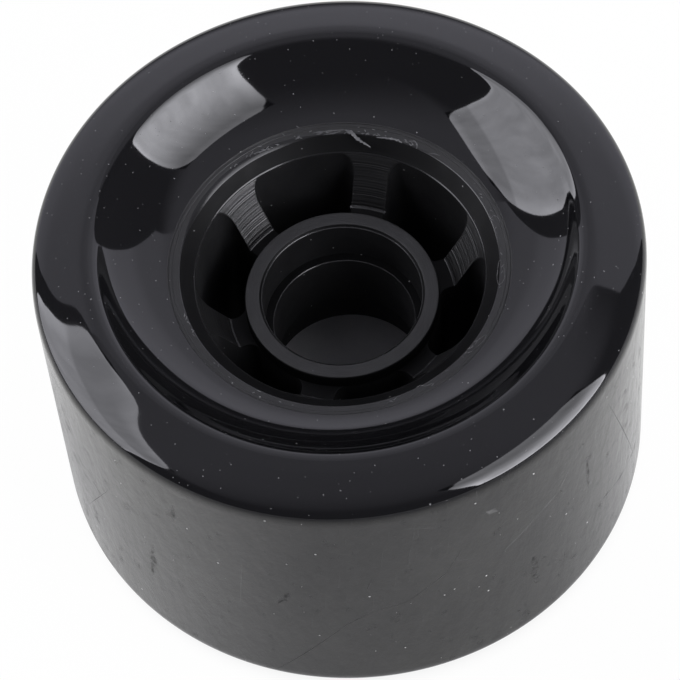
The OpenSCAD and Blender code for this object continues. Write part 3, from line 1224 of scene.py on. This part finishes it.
@dataclass
class MouldFlash:
    """Flash that the trimming left on the core. Millimetres, and degrees as the photographer sees."""

    strips: tuple[FlashStrip, ...] = (
        FlashStrip(((22.3, 83.6, 19.10), (21.9, 81.5, 19.25), (21.0, 79.1, 19.35), (20.4, 76.9, 19.30),
                    (20.1, 74.9, 19.20), (19.75, 72.7, 19.05)), (0.10, 0.30, 0.28, 0.22, 0.15, 0.05), 0.07),
        FlashStrip(((21.65, 71.8, 18.93), (21.73, 68.8, 19.0), (21.86, 65.5, 19.05), (21.86, 63.2, 19.0),
                    (21.74, 61.7, 18.95)), (0.05, 0.13, 0.17, 0.13, 0.04), 0.08),
        FlashStrip(((22.29, 59.9, 19.10), (22.55, 57.9, 19.2), (22.21, 56.5, 19.12), (21.71, 55.9, 18.95)),
                   (0.04, 0.07, 0.07, 0.04), 0.05),
        FlashStrip(((21.88, 51.1, 18.98), (22.17, 49.3, 19.08), (22.4, 47.0, 19.13)),
                   (0.03, 0.06, 0.03), 0.04),
        FlashStrip(((22.17, 117.6, 19.06), (22.0, 114.5, 19.02), (21.77, 111.1, 18.95)),
                   (0.03, 0.08, 0.03), 0.05),
        FlashStrip(((22.03, 101.4, 19.02), (21.95, 100.1, 19.02), (21.8, 98.9, 18.96)),
                   (0.03, 0.10, 0.03), 0.06),
        FlashStrip(((22.22, 95.1, 19.07), (22.25, 92.7, 19.09), (22.24, 88.4, 19.09), (22.35, 83.1, 19.11)),
                   (0.03, 0.07, 0.09, 0.05), 0.06),
        FlashStrip(((21.74, 91.7, 18.95), (21.9, 87.3, 19.0), (22.14, 84.8, 19.06)),
                   (0.03, 0.07, 0.04), 0.05),
        FlashStrip(((21.59, 14.0, 18.9), (22.26, 14.9, 19.11), (22.7, 14.0, 19.23), (22.81, 11.9, 19.24)),
                   (0.02, 0.035, 0.035, 0.02), 0.03),
        FlashStrip(((22.07, -3.6, 19.03), (21.62, -4.1, 18.95), (21.44, -8.0, 18.88), (21.44, -11.1, 18.86),
                    (21.82, -13.8, 18.98), (22.48, -11.3, 19.16), (22.24, -5.8, 19.1)),
                   (0.02, 0.03, 0.035, 0.035, 0.035, 0.03, 0.02), 0.03),
        FlashStrip(((22.26, -40.3, 19.08), (22.21, -37.9, 19.1), (22.76, -35.0, 19.25), (22.94, -37.7, 19.28),
                    (22.59, -40.6, 19.18)), (0.02, 0.03, 0.03, 0.03, 0.02), 0.03),
        FlashStrip(((21.78, -66.8, 18.96), (21.71, -65.0, 18.96), (22.29, -63.5, 19.12),
                    (22.42, -61.0, 19.13)),
                   (0.02, 0.035, 0.035, 0.02), 0.03),
        FlashStrip(((15.45, 81.6, 9.80), (15.62, 81.2, 9.90), (15.80, 80.8, 10.0)), (0.05, 0.14, 0.05), 0.12),
        FlashStrip(((15.45, 63.2, 9.80), (15.62, 63.4, 9.90), (15.80, 63.6, 10.0)), (0.05, 0.14, 0.05), 0.12))
    crumb_arcs: tuple[tuple[float, float, int], ...] = (
        (58.0, 126.0, 46), (-16.0, 30.0, 9), (-80.0, -30.0, 10), (190.0, 250.0, 14))
    crumb_seed: int = 7
    crumb_in: float = 21.9
    crumb_spread: float = 0.28
    crumb_size: Pair = (0.05, 0.11)
    crumb_lean: float = 0.25
    crumb_reach: Pair = (0.25, 0.9)
    crumb_tip: float = 0.02
    crumb_thick: float = 0.6
    lip_face: Triple = (21.8, 18.97, 0.28)
    sharp: float = 35.0
    finish: CorePlastic = CorePlastic("core_flash", (0.06, 0.06, 0.062, 1.0), (0.17, 0.17, 0.172, 1.0),
                                      (0.28, 0.40), dust=0.0)

    def crumbs(self) -> list[FlashStrip]:
        """Scatter crumbs along the lip's inner edge.

        Returns:
            The crumbs as short slivers.
        """
        chance = np.random.default_rng(self.crumb_seed)
        lip_r, lip_z, slope = self.lip_face
        made = []
        for first, last, count in self.crumb_arcs:
            for degrees in chance.uniform(first, last, count):
                radius = self.crumb_in + chance.exponential(self.crumb_spread)
                size = chance.uniform(*self.crumb_size)
                lean = chance.uniform(-self.crumb_lean, self.crumb_lean)
                reach = chance.uniform(*self.crumb_reach)
                height = lip_z + slope * (radius - lip_r)
                places = tuple((radius + t * lean, float(degrees) + t * reach, height)
                               for t in (-1.0, 0.0, 1.0))
                across = (self.crumb_tip, size, self.crumb_tip)
                made.append(FlashStrip(places, across, self.crumb_thick * size))
        return made

    def build(self) -> Thing:
        """Build and dress the slivers.

        Returns:
            The flash as one object.
        """
        draft = MeshDraft()
        for strip in (*self.strips, *self.crumbs()):
            draft.add_grid(strip.grid(), wrap_cols=True)
        piece = draft.to_object("core_flash", self.sharp)
        piece.data.materials.append(self.finish.material())
        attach(piece, BODY)
        return piece


@dataclass(frozen=True)
class Softbox:
    """One studio lamp, given by the directions of its corners as the wheel sees them."""

    name: str
    corners: tuple[Pair, ...]
    radiance: float
    tint: Colour
    low_gain: float
    fade: Triple
    height: float = 1.1
    rim: Span = (0.0, 0.10, 0.35, 0.0)
    low_edge: Pair = (0.62, 0.95)
    corner: float = 0.16
    stretch: Triple = (5.0, 1.4, 1.0)
    crease: Cloud = Cloud(1.6, 0.80, 1.10)

    def build(self) -> Thing:
        """Build the lamp as a glowing panel that the camera doesn't see.

        Returns:
            The panel's object.
        """
        first, second, third, fourth = (direction(*c) for c in self.corners)
        a, b = first * (self.height / first.z), second * (self.height / second.z)
        normal = (b - a).cross(fourth * (b.length / fourth.length) - a).normalized()
        c, d = (v * (normal.dot(a) / normal.dot(v)) for v in (third, fourth))
        panel = flat_panel(self.name, [turned(tuple(p)) for p in (a, b, c, d)], self.cloth())
        panel.visible_camera = False
        return panel

    def cloth(self) -> Material:
        """Make the glowing cloth: creased, with rounded corners, a brighter rim and a fade towards its top.

        Returns:
            The material.
        """
        material, kit, _ = new_material(self.name)
        place = kit.add("ShaderNodeTexCoord").outputs["UV"]
        axes = kit.axes(place)
        edges = [kit.math("MINIMUM", axes[i], kit.math("SUBTRACT", 1.0, axes[i])) for i in (0, 1)]
        rim = kit.span(kit.math("MINIMUM", *edges), *self.rim)
        rim = kit.math("ADD", rim, kit.span(axes[1], *self.low_edge, 0.0, self.low_gain))
        crease = kit.mottle(kit.vector("MULTIPLY", place, self.stretch), self.crease)
        short = [kit.math("MAXIMUM", kit.math("SUBTRACT", self.corner, edge), 0.0) for edge in edges]
        off = kit.math("SQRT", kit.math("ADD", *(kit.math("MULTIPLY", s, s) for s in short)))
        cut = kit.math("LESS_THAN", off, self.corner)
        cut = kit.math("MULTIPLY", cut, kit.span(axes[1], *self.fade, 1.0))
        glow = kit.math("MULTIPLY", kit.math("ADD", rim, crease), kit.math("MULTIPLY", cut, self.radiance))
        light = kit.add("ShaderNodeEmission", {"Color": self.tint, "Strength": glow})
        kit.link(light.outputs[0], kit.find("OUTPUT_MATERIAL").inputs["Surface"])
        return material


@dataclass(frozen=True)
class PalePaper:
    """Matt pale paper of the floor and the backdrop."""

    fibre: Cloud = Cloud(900.0, 0.78, 0.82)
    roughness: float = 0.9
    specular: float = 0.1

    def start(self, name: str) -> tuple[NodeKit, bpy.types.Node, Socket, Socket]:
        """Start a material.

        Args:
            name: Name of the material.

        Returns:
            A kit for its nodes, its principled shader, its tone and a place in the photographer's frame.
        """
        _, kit, shader = new_material(name)
        place = kit.place()
        fibre = kit.mottle(place, self.fibre)
        tone = kit.add("ShaderNodeCombineColor", {0: fibre, 1: fibre, 2: fibre}).outputs[0]
        shader.inputs["Roughness"].default_value = self.roughness
        shader.inputs["Specular IOR Level"].default_value = self.specular
        return kit, shader, tone, kit.turn(place, -PHOTO_TURN)


@dataclass
class Floor:
    """Pale floor, white beside the wheel and shaded under it, with painted shade in its colour and its glow
    in gloss: dimmer in front and far off, and a painted shadow beside the wheel on the left. Spans by metres,
    or radians from the front.
    """

    half: float = 4.0
    paper: PalePaper = PalePaper()
    white: Span = (0.030, 0.0425, 0.0, 0.985)
    left: Span = (0.15, 1.3, 0.33, 1.0)
    right: Span = (0.5, 2.05, 0.34, 1.0)
    shadow_reach: Span = (0.044, 0.066, 1.0, 0.0)
    shadow_sides: tuple[Span, Span] = ((-1.6, -0.5, 0.45, 0.0), (-2.8, -2.2, 0.0, 1.0))
    far_reach: Span = (0.10, 0.24, 0.0, 0.70)
    far_sides: Span = (1.6, 2.3, 1.0, 0.0)
    under: Span = (0.036, 0.043, 1.0, 0.0)
    dim: Span = (0.0, 1.0, 0.40, 1.0)

    def material(self) -> Material:
        """Make the paper: white to the camera and in gloss away from the wheel, where painted shade dims its
        glow in gloss and its colour, and clear from below.

        Returns:
            The material.
        """
        kit, shader, tone, place = self.paper.start("floor_paper")
        axes = kit.axes(place)
        radius = kit.length(kit.flat(axes[0], axes[1]))
        aside = kit.aside(axes)
        # Painted shade: the floor's colour and its glow in gloss darken in front, far off, and in a painted
        # shadow beside the wheel on the left.
        left = kit.span(kit.math("MULTIPLY", aside, -1.0), *self.left)
        front = kit.math("MAXIMUM", left, kit.span(aside, *self.right))
        side = kit.math("MULTIPLY", *(kit.span(aside, *ends) for ends in self.shadow_sides))
        shadow = kit.math("MULTIPLY", kit.span(radius, *self.shadow_reach), side)
        away = kit.span(kit.math("ABSOLUTE", aside), *self.far_sides)
        far = kit.math("MULTIPLY", kit.span(radius, *self.far_reach), away)
        lit = kit.math("MULTIPLY", *(kit.math("SUBTRACT", 1.0, dark) for dark in (shadow, far)))
        shade = kit.math("MAXIMUM", kit.math("MULTIPLY", front, lit), kit.span(radius, *self.under))
        kit.link(kit.blend(kit.span(shade, *self.dim), BLACK, tone), shader.inputs["Base Color"])
        rays = kit.add("ShaderNodeLightPath").outputs
        gloss = kit.math("MULTIPLY", rays["Is Glossy Ray"], shade)
        seen = kit.math("MAXIMUM", rays["Is Camera Ray"], gloss)
        factor = kit.math("MULTIPLY", seen, kit.span(radius, *self.white))
        mixed = kit.mixed(factor, shader, kit.add("ShaderNodeEmission", {"Strength": 1.0}))
        below = kit.add("ShaderNodeNewGeometry").outputs["Backfacing"]
        mixed = kit.mixed(below, mixed, kit.add("ShaderNodeBsdfTransparent"))
        kit.link(mixed.outputs[0], kit.find("OUTPUT_MATERIAL").inputs["Surface"])
        return bpy.data.materials["floor_paper"]

    def build(self) -> Thing:
        """Build the floor.

        Returns:
            The floor's object.
        """
        corners = [(x * self.half, y * self.half, FLOOR_Z) for x, y in ((-1, -1), (1, -1), (1, 1), (-1, 1))]
        floor = flat_panel("floor", corners, self.material())
        return floor


@dataclass
class Backdrop:
    """Pale paper behind the wheel. Spans by rise over the way from the axle, or by metres aside."""

    far: float = 0.6
    left: Pair = (-1.36, -1.42)
    right: float = 1.96
    top: float = 2.15
    paper: PalePaper = PalePaper()
    glow: float = 0.88
    foot_shade_rise: Span = (0.04, 0.24, 1.0, 0.0)
    foot_shade_sides: Span = (0.10, 0.55, 0.72, -0.10)
    falls: tuple[Span, Span] = ((0.42, 0.66, 0.0, -0.15), (1.0, 1.6, 0.0, -0.14))
    across: Span = (-0.35, 0.35, 0.92, 1.04)

    def material(self) -> Material:
        """Make the paper, which glows in gloss, brightest in a painted band above a foot of painted shade,
        dimmer higher up and brighter towards the right.

        Returns:
            The material.
        """
        kit, shader, tone, place = self.paper.start("backdrop_paper")
        kit.link(tone, shader.inputs["Base Color"])
        axes = kit.axes(place)
        # Painted light: the glow is set by height, with painted shade at the foot and falls higher up, and
        # brighter towards one side.
        rise = kit.math("DIVIDE", axes[2], kit.length(kit.flat(axes[0], axes[1])))
        sides = kit.span(kit.math("ABSOLUTE", axes[0]), *self.foot_shade_sides)
        level = kit.math("SUBTRACT", self.glow, kit.math("MULTIPLY", kit.span(rise, *self.foot_shade_rise), sides))
        for fall in self.falls:
            level = kit.math("ADD", level, kit.span(rise, *fall))
        strength = kit.math("MULTIPLY", kit.span(axes[0], *self.across), level)
        glow = kit.add("ShaderNodeEmission", {"Color": ROOM_TINT, "Strength": strength})
        rays = kit.add("ShaderNodeLightPath").outputs
        mixed = kit.mixed(rays["Is Glossy Ray"], shader, glow)
        kit.link(mixed.outputs[0], kit.find("OUTPUT_MATERIAL").inputs["Surface"])
        return bpy.data.materials["backdrop_paper"]

    def build(self) -> Thing:
        """Build the backdrop, which the camera doesn't see.

        Returns:
            The backdrop's object.
        """
        far, head = self.far, self.top * self.far
        corners = ((self.left[0] * far, far, FLOOR_Z), (self.right * far, far, FLOOR_Z),
                   (self.right * far, far, head), (self.left[1] * far, far, head))
        paper = flat_panel("backdrop", [turned(c) for c in corners], self.material())
        paper.visible_camera = False
        return paper


@dataclass
class Studio:
    """Floor, backdrop, two softboxes, dim room and the camera."""

    floor: Floor = field(default_factory=Floor)
    backdrop: Backdrop = field(default_factory=Backdrop)
    lamps: tuple[Softbox, Softbox] = (
        Softbox("softbox_left", ((146.3, 57.0), (202.3, 52.8), (199.5, 3.0), (152.5, 2.0)), 3.75,
                (0.985, 0.985, 1.06, 1.0), -0.20, (0.23, 0.27, 0.74)),
        Softbox("softbox_right", ((-58.8, 63.0), (0.9, 54.0), (-10.0, 5.0), (-56.2, 9.5)), 6.5,
                (0.985, 0.985, 1.05, 1.0), 0.3, (0.0, 0.62, 0.28)))
    ceiling: float = 0.43
    walls: float = 0.105
    ceiling_rise: Pair = (0.70, 0.86)
    ceiling_depth: Pair = (-0.68, 0.02)
    elevation: float = 58.947
    distance: float = 0.522
    focal_px: float = 3731.62
    image_px: float = 680.0
    centre_px: Pair = (346.21, 338.86)
    roll: float = -5.442
    sensor: float = 36.0
    clip_start: float = 0.01

    def world(self) -> None:
        """Set the room: white to the camera, else a grey ceiling that fades to dark walls."""
        world = bpy.data.worlds.new("room")
        bpy.context.scene.world = world
        world.use_nodes = True
        kit = NodeKit(world.node_tree)
        back = kit.find("BACKGROUND")
        camera_ray = kit.add("ShaderNodeLightPath").outputs["Is Camera Ray"]
        way = kit.add("ShaderNodeTexCoord").outputs["Generated"]
        depth = kit.vector("DOT_PRODUCT", way, turned((0.0, 1.0, 0.0)), "Value")
        over = kit.span(kit.axes(way)[2], *self.ceiling_rise, self.walls, self.ceiling)
        near = kit.span(depth, *self.ceiling_depth, self.walls, self.ceiling)
        kit.link(kit.math("MAXIMUM", camera_ray, kit.math("MINIMUM", over, near)), back.inputs["Strength"])
        kit.link(kit.blend(camera_ray, ROOM_TINT, WHITE), back.inputs["Color"])

    def camera(self) -> Thing:
        """Place the camera where the photograph was taken from.

        Returns:
            The camera's object.
        """
        el, roll = math.radians(self.elevation), math.radians(self.roll)
        ahead = Vector((0.0, math.cos(el), -math.sin(el)))
        right = Vector((1.0, 0.0, 0.0))
        up = right.cross(ahead)
        across = math.cos(roll) * right + math.sin(roll) * up
        upward = -math.sin(roll) * right + math.cos(roll) * up
        half = self.image_px / 2
        aim = ahead - across * ((self.centre_px[0] - half) / self.focal_px)
        aim = (aim + upward * ((self.centre_px[1] - half) / self.focal_px)).normalized()
        across = (across - aim * across.dot(aim)).normalized()
        upward = across.cross(aim)
        data = bpy.data.cameras.new("camera")
        data.sensor_width = self.sensor
        data.lens = self.focal_px * self.sensor / self.image_px
        data.clip_start = self.clip_start
        data.dof.use_dof = False
        camera = new_object("camera", data)
        axes = Matrix([turned(axis) for axis in (across, upward, -aim)]).transposed()
        camera.matrix_world = Matrix.Translation(turned(-ahead * self.distance)) @ axes.to_4x4()
        bpy.context.scene.camera = camera
        return camera

    def build(self) -> None:
        """Build the stage, the lamps and the camera."""
        self.world()
        for part in (self.floor, self.backdrop, *self.lamps):
            LOG.info("stage: %s", part.build().name)
        LOG.info("stage: %s", self.camera().name)
        bpy.context.scene.view_settings.view_transform = "Standard"


def main() -> None:
    """Build the wheel's pieces in order, then the studio."""
    logging.basicConfig(level=logging.INFO, format="%(message)s")
    for piece in (Tyre().build(), Core().build(), MouldFlash().build()):
        LOG.info("piece: %s, %d faces", piece.name, len(piece.data.polygons))
    Studio().build()


if __name__ == "__main__":
    main()
